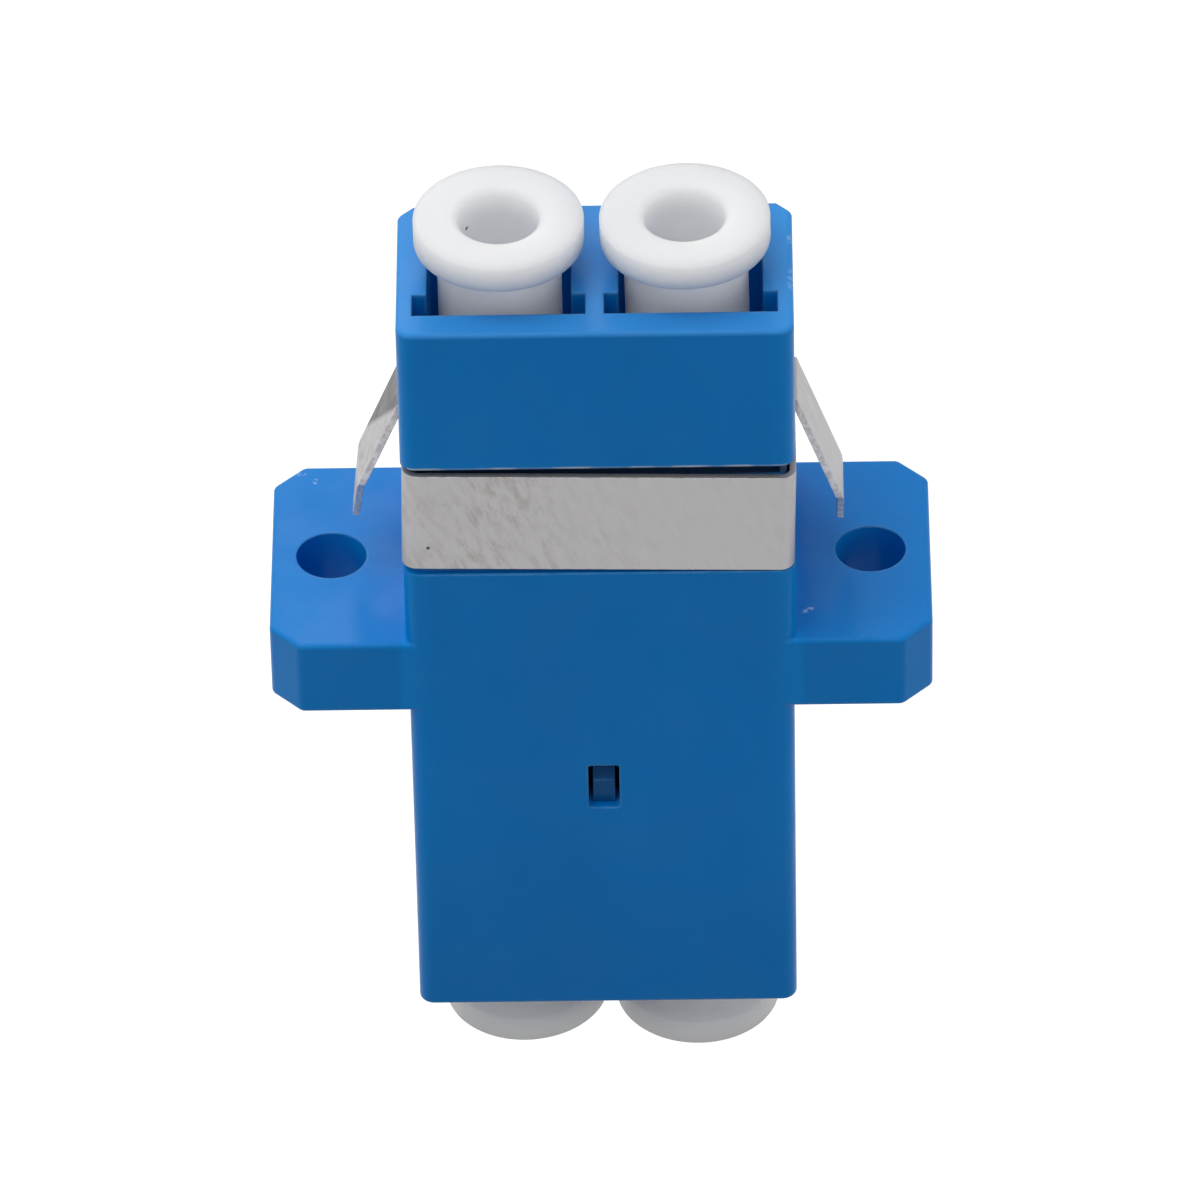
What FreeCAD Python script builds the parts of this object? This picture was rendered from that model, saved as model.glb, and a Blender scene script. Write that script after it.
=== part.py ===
"""LC duplex fibre adapter with a screw flange, a snap-in spring clip and four dust caps.

The adapter joins two pairs of LC connectors end to end.  A one-piece moulded housing carries the
flange and the front ports.  A two-part holder slides in from the rear, traps the two ceramic split
sleeves on the optical axes, and clicks into a small window.  A folded steel clip wraps the housing.

Frame, in millimetres: X runs across the two ports, Y is the depth of the housing (the face with
the window looks to -Y), Z is the optical axis.  The origin is under the centre of the adapter, at
the level of the rear dust caps' rims.  Each body is drawn about the flange's mid-plane.
"""
import FreeCAD, Part
import Sketcher
import os
import re
from FreeCAD import Placement, Rotation, Vector

SIZES = [
    # Housing.  Depth is counted from the face with the window.
    ("body_width", 12.94, "housing across the two ports, in front of the flange"),
    ("rear_width", 12.8, "the same behind the flange"),
    ("body_depth", 9.4, "housing and flange, window face to latch face"),
    ("body_length", 29.1, "rear port face to front port face"),
    ("port_depth", 6.82, "depth of the housing at its two port ends"),
    ("hood_setback", 3.3, "port face to the full-depth part that hoods the latches"),
    ("edge_radius", 0.5, "long edges of the housing"),
    ("back_chamfer", 0.6, "long edges behind the ports"),
    ("face_radius", 0.15, "front edge of the port faces and the flange"),
    ("back_edge_cut", 0.08, "back edge of the port faces"),
    ("mid_height", 17.25, "flange mid-plane above the rear caps' rims"),
    # Flange.
    ("flange_width", 22.0, "ear tip to ear tip"),
    ("flange_thickness", 2.87, "along the optical axis"),
    ("flange_chamfer", 1.0, "cut corners of the ears"),
    ("flange_softening", 0.35, "radius beside the cut corners"),
    ("screw_spacing", 18.0, "between the two screw holes"),
    ("screw_hole", 2.36, "screw hole diameter"),
    # LC ports.
    ("port_pitch", 6.25, "between the two optical axes"),
    ("port_width", 4.72, "square way for the plug body"),
    ("axis_inset", 3.54, "window face to the optical axes"),
    ("lip_thickness", 1.06, "wall on the window side"),
    ("key_width", 5.66, "wider slot along the lip"),
    ("key_depth", 1.08, "depth of that slot"),
    ("latch_width", 3.3, "way for a plug's latch arm"),
    ("latch_roof", 1.1, "wall over the latch way"),
    ("lug_depth", 1.7, "pocket for the latch lugs beyond the square way"),
    ("lug_end", 9.6, "catch face for the lugs, from the mid-plane"),
    ("latch_floor", 5.4, "inner end of the latch ways, from the mid-plane"),
    # Clip recess and window.
    ("recess_low", 4.45, "lower edge of the clip recess, from the mid-plane"),
    ("recess_high", 8.925, "upper edge of the clip recess"),
    ("recess_depth", 0.27, "below the housing's faces"),
    ("relief_low", 8.4, "lower edge of the deeper groove above the clip"),
    ("relief_depth", 0.6, "that groove, below the window face"),
    ("window_width", 1.04, "snap window"),
    ("window_height", 1.86, "snap window"),
    ("window_drop", 4.85, "mid-plane down to the window's centre"),
    # Sleeve holder.
    ("web_thickness", 0.8, "housing wall that stops the holder"),
    ("plate_thickness", 0.9, "each half of the holder"),
    ("fit_gap", 0.04, "holder to housing"),
    ("barrel_diameter", 2.6, "tubes round the sleeves"),
    ("barrel_reach", 5.0, "barrel tip, from the mid-plane"),
    ("sleeve_diameter", 1.62, "outside of a split sleeve"),
    ("sleeve_bore", 1.25, "inside of a split sleeve"),
    ("sleeve_length", 6.8, "split sleeve"),
    ("sleeve_slit", 0.3, "the slit's width"),
    ("sleeve_play", 0.06, "radial play of a sleeve in its barrel"),
    ("ferrule_way", 1.4, "mouth of a barrel"),
    ("groove_depth", 0.35, "groove for the divider in the latch wall"),
    ("hook_width", 0.73, "snap hook"),
    ("hook_rise", 0.75, "snap hook above the lip's inner face"),
    ("hook_ramp", 0.9, "sloped part of the hook, along the axis"),
    # Spring clip.
    ("sheet", 0.22, "stainless sheet"),
    ("clip_low", 4.62, "lower edge of the band, from the mid-plane"),
    ("clip_high", 8.52, "upper edge of the band"),
    ("clip_lean", 1.2, "the band sits askew in its recess, degrees towards +X"),
    ("clip_return", 2.2, "length of the tabs on the latch face"),
    ("wing_width", 2.3, "spring wing at its root"),
    ("tip_width", 0.9, "spring wing at its tip"),
    ("taper_rise", 0.1, "where the wings start to narrow, above their knees"),
    ("fold_radius", 0.1, "outside of the hairpin fold at a wing's root"),
    ("knee_radius", 1.0, "outside of the bend in each wing"),
    ("left_fold", 8.66, "left wing: top of its fold, from the mid-plane"),
    ("left_fold_reach", 6.63, "outside of the fold, from the centre"),
    ("left_knee", 5.17, "the bend, from the mid-plane"),
    ("left_knee_reach", 7.98, "the bend, from the centre"),
    ("left_tip", 3.3, "free end, from the mid-plane"),
    ("left_tip_reach", 8.16, "free end, from the centre"),
    ("right_fold", 8.92, "right wing: top of its fold, from the mid-plane"),
    ("right_fold_reach", 6.54, "outside of the fold, from the centre"),
    ("right_knee", 4.68, "the bend, from the mid-plane"),
    ("right_knee_reach", 8.15, "the bend, from the centre"),
    ("right_tip", 3.28, "free end, from the mid-plane"),
    ("right_tip_reach", 8.16, "free end, from the centre"),
    # Dust caps.
    ("cap_rim", 5.57, "rim diameter"),
    ("rim_thickness", 0.95, "along the axis"),
    ("rim_chamfer", 0.17, "cut that softens the rim's outer edges"),
    ("cap_tube", 4.06, "tube diameter"),
    ("cap_bore", 2.78, "both blind bores"),
    ("bore_chamfer", 0.1, "cut round the outer bore's mouth"),
    ("outer_bore_depth", 7.4, "blind bore in the rim"),
    ("inner_bore_depth", 4.6, "blind bore that slips over a barrel"),
    ("cap_length", 13.5, "tube end to rim face"),
    ("cap_seat", 3.2, "end of a fully seated tube, from the mid-plane"),
]

# Each dust cap: side of the centre (-1 is left), end (1 is front), its lean towards +X in degrees,
# and how far it stands out of its seat in mm.
DUST_CAPS = {
    "dust_cap_front_left": (-1, 1, 0.1, 0.0),
    "dust_cap_front_right": (1, 1, -0.7, 0.0),
    "dust_cap_rear_left": (-1, -1, 1.4, 0.3),
    "dust_cap_rear_right": (1, -1, -0.4, 0.53),
}

FRONT = "-body_depth / 2"
LIP = "-body_depth / 2 + lip_thickness"
KEY = "-body_depth / 2 + lip_thickness + key_depth"
AXIS = "-body_depth / 2 + axis_inset"
PORT_BACK = "-body_depth / 2 + axis_inset + port_width / 2"
REAR_PORT_FACE = "-body_length / 2"

doc = FreeCAD.newDocument("lc_fibre_adapter")


# ---------------------------------------------------------------------------------------------
# Sheet, sketches and features
# ---------------------------------------------------------------------------------------------

def make_sheet():
    """One row for each driving dimension: its name, its value in mm and what it measures."""
    sheet = doc.addObject("Spreadsheet::Sheet", "Sizes")
    for row, (alias, number, meaning) in enumerate(SIZES, start=1):
        sheet.set(f"A{row}", alias)
        sheet.set(f"B{row}", str(number))
        sheet.set(f"C{row}", meaning)
        sheet.setAlias(f"B{row}", alias)
    doc.recompute()
    return sheet


def bound(expression):
    """The expression with each dimension's name read from the sheet."""
    return re.sub(r"\b([a-z]+(?:_[a-z]+)+|sheet)\b(?!\()", r"Sizes.\1", expression)


def number(expression):
    """The value of an expression, in mm."""
    return float(SHEET.evalExpression(bound(expression)))


def new_body(label, turn=None, place=None):
    """A body whose own origin lies at the flange's mid-plane, or at the given expressions."""
    body = doc.addObject("PartDesign::Body", label)
    body.Label = label
    if turn is not None:
        body.Placement = Placement(Vector(), turn)
    for letter, expression in zip("xyz", place or ("0", "0", "mid_height")):
        body.setExpression(f"Placement.Base.{letter}", bound(expression))
    return body


def new_sketch(body, name, role, offset="0"):
    """An empty sketch on one of the body's origin planes, moved along the plane's normal."""
    sketch = body.newObject("Sketcher::SketchObject", name)
    plane = next(item for item in body.Origin.OriginFeatures if item.Role == role)
    sketch.AttachmentSupport = [(plane, "")]
    sketch.MapMode = "FlatFace"
    sketch.setExpression("AttachmentOffset.Base.z", bound(offset))
    return sketch


def pin(sketch, geometry, point, expression, across):
    """Hold one coordinate of a point at an expression, measured from the sketch's origin."""
    value = number(expression)
    kind = "DistanceX" if across else "DistanceY"
    if abs(value) < 1e-9:
        axis = -2 if across else -1
        sketch.addConstraint(Sketcher.Constraint("PointOnObject", geometry, point, axis))
        return
    if value > 0:
        rule = Sketcher.Constraint(kind, -1, 1, geometry, point, value)
        text = expression
    else:
        rule = Sketcher.Constraint(kind, geometry, point, -1, 1, -value)
        text = f"-({expression})"
    index = sketch.addConstraint(rule)
    sketch.setExpression(f"Constraints[{index}]", bound(text))


def draw_outline(sketch, corners):
    """A closed chain of straight lines through corners given as pairs of expressions."""
    spots = [Vector(number(x), number(y), 0) for x, y in corners]
    first = sketch.GeometryCount
    for start, end in zip(spots, spots[1:] + spots[:1]):
        sketch.addGeometry(Part.LineSegment(start, end), False)
    for index, (x, y) in enumerate(corners):
        following = first + (index + 1) % len(corners)
        sketch.addConstraint(Sketcher.Constraint("Coincident", first + index, 2, following, 1))
        pin(sketch, first + index, 1, x, True)
        pin(sketch, first + index, 1, y, False)


def draw_box(sketch, left, right, low, high):
    """A closed rectangle between four expressions."""
    draw_outline(sketch, [(left, low), (right, low), (right, high), (left, high)])


def draw_circle(sketch, x, y, diameter):
    """A circle whose centre and diameter are expressions."""
    centre = Vector(number(x), number(y), 0)
    index = sketch.addGeometry(Part.Circle(centre, Vector(0, 0, 1), number(diameter) / 2), False)
    pin(sketch, index, 3, x, True)
    pin(sketch, index, 3, y, False)
    rule = sketch.addConstraint(Sketcher.Constraint("Diameter", index, number(diameter)))
    sketch.setExpression(f"Constraints[{rule}]", bound(diameter))


def extrude(body, kind, name, sketch, length, midplane=False, backwards=False):
    """A Pad or Pocket of a sketch.  A pad follows the sketch's normal and a pocket runs against it."""
    feature = body.newObject(f"PartDesign::{kind}", name)
    feature.Profile = sketch
    feature.Midplane = midplane
    feature.Reversed = backwards
    feature.setExpression("Length", bound(length))
    sketch.Visibility = False
    doc.recompute()
    return feature


def turn_profile(body, name, sketch):
    """The solid of a profile turned once round the sketch's vertical axis."""
    feature = body.newObject("PartDesign::Revolution", name)
    feature.Profile = sketch
    feature.ReferenceAxis = (sketch, ["V_Axis"])
    feature.Angle = 360.0
    doc.recompute()
    return feature


def dress(body, kind, name, size, chosen):
    """A Fillet or Chamfer on each edge of the body's tip for which chosen(edge) is true."""
    base = body.Tip
    names = [f"Edge{n}" for n, edge in enumerate(base.Shape.Edges, start=1) if chosen(edge)]
    if not names:
        raise ValueError(f"{name}: no edge was chosen")
    feature = body.newObject(f"PartDesign::{kind}", name)
    feature.Base = (base, names)
    feature.setExpression("Radius" if kind == "Fillet" else "Size", bound(size))
    doc.recompute()
    return feature


def along(edge, axis):
    """True for a straight edge parallel to an axis, 0 for X, 1 for Y and 2 for Z."""
    if edge.Curve.TypeId != "Part::GeomLine":
        return False
    return abs(abs(edge.Curve.Direction[axis]) - 1) < 1e-6


def middle(edge):
    """The point half-way along an edge."""
    return edge.valueAt((edge.FirstParameter + edge.LastParameter) / 2)


def is_ring(edge, radius, *levels):
    """True for a circle of this radius whose plane is at one of the levels, along Z."""
    return (edge.Curve.TypeId == "Part::GeomCircle" and near(edge.Curve.Radius, radius)
            and near(middle(edge).z, *levels))


def near(value, *expressions):
    """True where the value is at one of the expressions."""
    return any(abs(value - number(expression)) < 1e-3 for expression in expressions)


# ---------------------------------------------------------------------------------------------
# Housing
# ---------------------------------------------------------------------------------------------

def add_flange(body):
    """The two ears, as deep as the housing, with cut corners and a screw hole each."""
    ears = new_sketch(body, "flange_outline", "XY_Plane")
    far, cut = "flange_width / 2", "flange_width / 2 - flange_chamfer"
    high, inset = "body_depth / 2", "body_depth / 2 - flange_chamfer"
    draw_outline(ears, [
        (f"-({cut})", f"-({high})"), (cut, f"-({high})"), (far, f"-({inset})"), (far, inset),
        (cut, high), (f"-({cut})", high), (f"-({far})", inset), (f"-({far})", f"-({inset})")])
    extrude(body, "Pad", "flange", ears, "flange_thickness", midplane=True)
    dress(body, "Fillet", "ear_corners", "flange_softening", lambda edge: along(edge, 2)
          and abs(middle(edge).x) > number(cut) - 1e-3 and abs(middle(edge).z) < 1e-3)
    holes = new_sketch(body, "screw_hole_centres", "XY_Plane")
    for side in ("-", ""):
        draw_circle(holes, f"{side}screw_spacing / 2", "0", "screw_hole")
    extrude(body, "Pocket", "screw_holes", holes, "2 * flange_thickness", midplane=True)


def add_shell(body):
    """The outer block: full depth between the latch hoods, shallower at the two port ends.

    It is a little wider in front of the flange than behind it, and both halves start in the flange.
    """
    for end, width in (("front", "body_width"), ("rear", "rear_width")):
        backwards = end == "rear"
        middle_part = new_sketch(body, f"{end}_middle_section", "XY_Plane")
        draw_box(middle_part, f"-{width} / 2", f"{width} / 2", FRONT, "body_depth / 2")
        extrude(body, "Pad", f"{end}_middle_block", middle_part, "body_length / 2 - hood_setback",
                backwards=backwards)
        ports = new_sketch(body, f"{end}_port_block_section", "XY_Plane")
        draw_box(ports, f"-{width} / 2", f"{width} / 2", FRONT, "-body_depth / 2 + port_depth")
        extrude(body, "Pad", f"{end}_port_block", ports, "body_length / 2", backwards=backwards)
    dress(body, "Fillet", "long_edges", "edge_radius", lambda edge: is_long_edge(edge)
          and near(middle(edge).y, FRONT, "body_depth / 2"))
    dress(body, "Chamfer", "port_back_edges", "back_chamfer", lambda edge: is_long_edge(edge)
          and near(middle(edge).y, "-body_depth / 2 + port_depth"))


def is_long_edge(edge):
    """True for an edge along Z on one of the housing's two sides."""
    return along(edge, 2) and near(abs(middle(edge).x), "body_width / 2", "rear_width / 2")


def add_clip_recess(body):
    """A shallow belt round the housing for the spring clip, and a deeper groove above it in front."""
    belt = new_sketch(body, "recess_section", "XY_Plane", "recess_high")
    draw_box(belt, "-body_width", "body_width", "-body_depth", "body_depth")
    draw_box(belt, "-body_width / 2 + recess_depth", "body_width / 2 - recess_depth",
             "-body_depth / 2 + recess_depth", "body_depth / 2 - recess_depth")
    extrude(body, "Pocket", "clip_recess", belt, "recess_high - recess_low")
    dress(body, "Fillet", "recess_corners", "edge_radius - recess_depth", lambda edge: along(edge, 2)
          and near(abs(middle(edge).x), "body_width / 2 - recess_depth"))
    relief = new_sketch(body, "relief_section", "XY_Plane", "recess_high")
    draw_box(relief, "-body_width / 2 + edge_radius", "body_width / 2 - edge_radius",
             FRONT, "-body_depth / 2 + relief_depth")
    extrude(body, "Pocket", "clip_relief", relief, "recess_high - relief_low")


def port_outline(centre):
    """Corners of one port: a square way for the plug, with a wider slot along the lip."""
    left, right = f"{centre} - port_width / 2", f"{centre} + port_width / 2"
    key_left, key_right = f"{centre} - key_width / 2", f"{centre} + key_width / 2"
    return [(key_left, LIP), (key_right, LIP), (key_right, KEY), (right, KEY),
            (right, PORT_BACK), (left, PORT_BACK), (left, KEY), (key_left, KEY)]


def add_front_ports(body):
    """The two front ports, down to the web that stops the sleeve holder."""
    ports = new_sketch(body, "front_port_section", "XY_Plane", "body_length / 2")
    for side in ("-", ""):
        draw_outline(ports, port_outline(f"{side}port_pitch / 2"))
    extrude(body, "Pocket", "front_ports", ports, "body_length / 2 - plate_thickness - web_thickness")


def add_rear_bay(body):
    """The rear bay, one space for both ports: the holder brings the wall between them."""
    outer, key = "port_pitch / 2 + port_width / 2", "port_pitch / 2 + key_width / 2"
    bay = new_sketch(body, "rear_bay_section", "XY_Plane", REAR_PORT_FACE)
    draw_outline(bay, [
        (f"-({key})", LIP), (key, LIP), (key, KEY), (outer, KEY),
        (outer, PORT_BACK), (f"-({outer})", PORT_BACK), (f"-({outer})", KEY), (f"-({key})", KEY)])
    extrude(body, "Pocket", "rear_bay", bay, "body_length / 2 + plate_thickness", backwards=True)
    groove = new_sketch(body, "divider_groove_section", "XY_Plane", REAR_PORT_FACE)
    draw_box(groove, "-port_pitch / 2 + port_width / 2", "port_pitch / 2 - port_width / 2",
             "-body_depth / 2 + axis_inset", f"{PORT_BACK} + groove_depth")
    extrude(body, "Pocket", "divider_groove", groove, "body_length / 2 + plate_thickness", backwards=True)
    ways = new_sketch(body, "barrel_way_centres", "XY_Plane", "plate_thickness + web_thickness")
    for side in ("-", ""):
        draw_circle(ways, f"{side}port_pitch / 2", AXIS, "barrel_diameter + 4 * fit_gap")
    extrude(body, "Pocket", "barrel_ways", ways, "web_thickness")


def add_latch_ways(body):
    """Behind each port, a slot for the latch arm and a wider pocket where the lugs catch."""
    back = "body_depth / 2 - latch_roof"
    for end, plane_sign in (("front", ""), ("rear", "-")):
        slots = new_sketch(body, f"{end}_latch_slots_section", "XY_Plane", f"{plane_sign}latch_floor")
        pockets = new_sketch(body, f"{end}_lug_pockets_section", "XY_Plane", f"{plane_sign}latch_floor")
        for side in ("-", ""):
            centre = f"{side}port_pitch / 2"
            draw_box(slots, f"{centre} - latch_width / 2", f"{centre} + latch_width / 2", AXIS, back)
            draw_box(pockets, f"{centre} - port_width / 2", f"{centre} + port_width / 2",
                     AXIS, f"{PORT_BACK} + lug_depth")
        outwards = end == "front"
        extrude(body, "Pocket", f"{end}_latch_slots", slots, "body_length / 2 - latch_floor",
                backwards=outwards)
        extrude(body, "Pocket", f"{end}_lug_pockets", pockets, "lug_end - latch_floor",
                backwards=outwards)


def add_window(body):
    """The snap window through the lip, behind the flange."""
    window = new_sketch(body, "window_outline", "XZ_Plane", "body_depth / 2")
    draw_box(window, "-window_width / 2", "window_width / 2",
             "-window_drop - window_height / 2", "-window_drop + window_height / 2")
    extrude(body, "Pocket", "snap_window", window, "lip_thickness")
    dress(body, "Fillet", "window_corners", "window_width / 10", lambda edge: along(edge, 1)
          and near(abs(middle(edge).x), "window_width / 2")
          and near(edge.Length, "lip_thickness"))


def soften_housing(body):
    """Round the front edges of both port faces and of the flange, and break the port faces' back edges."""
    dress(body, "Fillet", "soft_front_edges", "face_radius", lambda edge: along(edge, 0)
          and near(middle(edge).y, FRONT)
          and near(abs(middle(edge).z), "body_length / 2", "flange_thickness / 2"))
    dress(body, "Chamfer", "port_face_back_edges", "back_edge_cut", lambda edge: along(edge, 0)
          and near(middle(edge).y, "-body_depth / 2 + port_depth")
          and near(abs(middle(edge).z), "body_length / 2"))


def make_housing():
    """One moulding: the shell with its flange, ports, latch ways, clip recess and snap window."""
    body = new_body("housing")
    add_flange(body)
    add_shell(body)
    add_clip_recess(body)
    add_front_ports(body)
    add_rear_bay(body)
    add_latch_ways(body)
    add_window(body)
    soften_housing(body)


# ---------------------------------------------------------------------------------------------
# Sleeve holder and split sleeves
# ---------------------------------------------------------------------------------------------

def add_holder_plate(body, end):
    """The plate across the bay with its two barrels.  end is 1 for the front half, -1 for the rear."""
    sign = "" if end > 0 else "-"
    plate = new_sketch(body, "plate_outline", "XY_Plane")
    half = "port_pitch / 2 + port_width / 2 - fit_gap"
    draw_box(plate, f"-({half})", half, f"{LIP} + fit_gap", f"{PORT_BACK} - fit_gap")
    extrude(body, "Pad", "plate", plate, "plate_thickness", backwards=end < 0)
    barrels = new_sketch(body, "barrel_circles", "XY_Plane")
    bores = new_sketch(body, "sleeve_bore_circles", "XY_Plane")
    mouths = new_sketch(body, "ferrule_way_circles", "XY_Plane", f"{sign}barrel_reach")
    for side in ("-", ""):
        draw_circle(barrels, f"{side}port_pitch / 2", AXIS, "barrel_diameter")
        draw_circle(bores, f"{side}port_pitch / 2", AXIS, "sleeve_diameter + 2 * sleeve_play")
        draw_circle(mouths, f"{side}port_pitch / 2", AXIS, "ferrule_way")
    extrude(body, "Pad", "barrels", barrels, "barrel_reach", backwards=end < 0)
    extrude(body, "Pocket", "sleeve_bores", bores, "sleeve_length / 2 + fit_gap", backwards=end > 0)
    extrude(body, "Pocket", "ferrule_ways", mouths, "barrel_reach", backwards=end < 0)
    tip = number(f"{sign}barrel_reach")
    dress(body, "Chamfer", "barrel_leads", "ferrule_way / 10", lambda edge: len(edge.Vertexes) == 1
          and abs(middle(edge).z - tip) < 1e-3)


def make_front_holder():
    """Front half of the sleeve holder: its plate seats on the housing's web."""
    body = new_body("sleeve_holder_front")
    add_holder_plate(body, 1)


def make_rear_holder():
    """Rear half of the sleeve holder, with the wall between the rear ports and the snap hook."""
    body = new_body("sleeve_holder_rear")
    add_holder_plate(body, -1)
    wall, stub = "port_pitch / 2 - port_width / 2 - fit_gap", "port_pitch / 2 - key_width / 2"
    near_edge, far_edge = f"{LIP} + fit_gap", f"{PORT_BACK} + groove_depth - fit_gap"
    divider = new_sketch(body, "divider_section", "XY_Plane", "-plate_thickness")
    draw_outline(divider, [
        (f"-({stub})", near_edge), (stub, near_edge), (stub, KEY), (wall, KEY),
        (wall, far_edge), (f"-({wall})", far_edge), (f"-({wall})", KEY), (f"-({stub})", KEY)])
    extrude(body, "Pad", "divider", divider, "body_length / 2 - plate_thickness", backwards=True)
    top, foot = "-window_drop + window_height / 2", "-window_drop - window_height / 2 + 2 * fit_gap"
    crest = f"{LIP} - hook_rise"
    hook = new_sketch(body, "hook_profile", "YZ_Plane")
    draw_outline(hook, [(f"{LIP} + key_depth / 2", f"{top} + hook_ramp / 2"), (f"{LIP} + fit_gap", top),
                        (crest, f"{top} - hook_ramp"), (crest, foot),
                        (f"{LIP} + key_depth / 2", foot)])
    extrude(body, "Pad", "snap_hook", hook, "hook_width", midplane=True)


def make_split_sleeve(label, side):
    """A zirconia tube slit along its length, held in two facing barrels."""
    body = new_body(label, place=(f"{side}port_pitch / 2", AXIS, "mid_height"))
    tube = new_sketch(body, "tube_profile", "XZ_Plane")
    draw_box(tube, "sleeve_bore / 2", "sleeve_diameter / 2", "-sleeve_length / 2", "sleeve_length / 2")
    turn_profile(body, "tube", tube)
    slit = new_sketch(body, "slit_outline", "XZ_Plane")
    draw_box(slit, "-sleeve_slit / 2", "sleeve_slit / 2", "-sleeve_length", "sleeve_length")
    extrude(body, "Pocket", "slit", slit, "sleeve_diameter")


# ---------------------------------------------------------------------------------------------
# Spring clip
# ---------------------------------------------------------------------------------------------

def add_band(body):
    """The band: across the window face, round both sides and a short way onto the latch face."""
    out_x, out_y = "body_width / 2", "body_depth / 2"
    in_x, in_y = "body_width / 2 - sheet", "body_depth / 2 - sheet"
    tab = "body_width / 2 - clip_return"
    band = new_sketch(body, "band_section", "XY_Plane", "clip_low")
    draw_outline(band, [
        (f"-({out_x})", f"-({out_y})"), (out_x, f"-({out_y})"), (out_x, out_y), (tab, out_y),
        (tab, in_y), (in_x, in_y), (in_x, f"-({in_y})"), (f"-({in_x})", f"-({in_y})"),
        (f"-({in_x})", in_y), (f"-({tab})", in_y), (f"-({tab})", out_y), (f"-({out_x})", out_y)])
    extrude(body, "Pad", "band", band, "clip_high - clip_low")
    dress(body, "Fillet", "band_inner_bends", "edge_radius - sheet", lambda edge: along(edge, 2)
          and near(abs(middle(edge).x), in_x) and near(abs(middle(edge).y), in_y))
    dress(body, "Fillet", "band_outer_bends", "edge_radius", lambda edge: along(edge, 2)
          and near(abs(middle(edge).x), out_x) and near(abs(middle(edge).y), out_y))


def add_wing(body, name, side):
    """One spring wing: folded over the band's top edge, flared out and down to a knee, then steeper.

    The strip is drawn from the side.  Both of its legs have parallel faces one sheet apart.  A leg of
    slope m, its sideways run for each millimetre down, measures sheet * sqrt(1 + m ^ 2) across, level.
    """
    plate_out, plate_in = "body_width / 2", "body_width / 2 - sheet"
    top, knee, tip = f"{name}_fold", f"{name}_knee", f"{name}_tip"
    root, knee_reach, tip_reach = (f"{level}_reach" for level in (top, knee, tip))
    upper = f"(({knee_reach} - {root}) / ({top} - {knee}))"
    lower = f"(({tip_reach} - {knee_reach}) / ({knee} - {tip}))"
    upper_across, lower_across = (f"(sheet * sqrt(1 + {slope} ^ 2))" for slope in (upper, lower))
    drop = f"(({upper_across} - {lower_across}) / ({upper} - {lower}))"
    low = "(clip_low + clip_high) / 2"
    corners = [
        (plate_in, low), (plate_in, top), (root, top), (knee_reach, knee), (tip_reach, tip),
        (f"{tip_reach} - {lower_across}", tip),
        (f"{knee_reach} + {drop} * {lower} - {lower_across}", f"{knee} - {drop}"),
        (plate_out, f"{top} - ({plate_out} - {root} + {upper_across}) / {upper}"), (plate_out, low)]
    profile = new_sketch(body, f"{name}_wing_profile", "XZ_Plane")
    draw_outline(profile, [(f"{side}({x})", y) for x, y in corners])
    extrude(body, "Pad", f"{name}_wing", profile, "wing_width", midplane=True)
    sign = -1 if side else 1
    for bend, radius, level in (("fold", "fold_radius", top), ("outer_knee", "knee_radius", knee),
                                ("inner_knee", "knee_radius - sheet", f"{knee} - {drop}")):
        dress(body, "Fillet", f"{name}_{bend}", radius, lambda edge: along(edge, 1)
              and middle(edge).x * sign > 0 and near(middle(edge).z, level))


def taper_wing(body, name, side):
    """Cut both long edges of a wing, outside the band, so that it narrows from above its knee to its tip."""
    root, tip, clear = "wing_width / 2", "tip_width / 2", "wing_width"
    start, end = f"{name}_knee + taper_rise", f"{name}_tip"
    waste = new_sketch(body, f"{name}_taper", "YZ_Plane", f"{side}(body_width / 2 + 2 * sheet)")
    for half in ("-", ""):
        draw_outline(waste, [(f"{half}({root})", start), (f"{half}({tip})", end),
                             (f"{half}({tip})", f"{end} - sheet"), (f"{half}({clear})", f"{end} - sheet"),
                             (f"{half}({clear})", start)])
    extrude(body, "Pocket", f"{name}_tapered", waste, f"{name}_tip_reach", backwards=side == "")


def make_spring_clip():
    """One piece of folded stainless sheet: a band with a spring wing on each side.

    It leans about the middle of its band.
    """
    height = "(clip_low + clip_high) / 2"
    body = new_body("spring_clip", Rotation(Vector(0, 1, 0), number("clip_lean")),
                    (f"-{height} * sin(clip_lean)", "0", f"mid_height + {height} * (1 - cos(clip_lean))"))
    add_band(body)
    for name, side in (("left", "-"), ("right", "")):
        add_wing(body, name, side)
        taper_wing(body, name, side)
    dress(body, "Fillet", "wing_tip_corners", "tip_width / 3", lambda edge: along(edge, 0)
          and near(middle(edge).z, "left_tip", "right_tip")
          and near(abs(middle(edge).y), "tip_width / 2"))


# ---------------------------------------------------------------------------------------------
# Dust caps
# ---------------------------------------------------------------------------------------------

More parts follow.
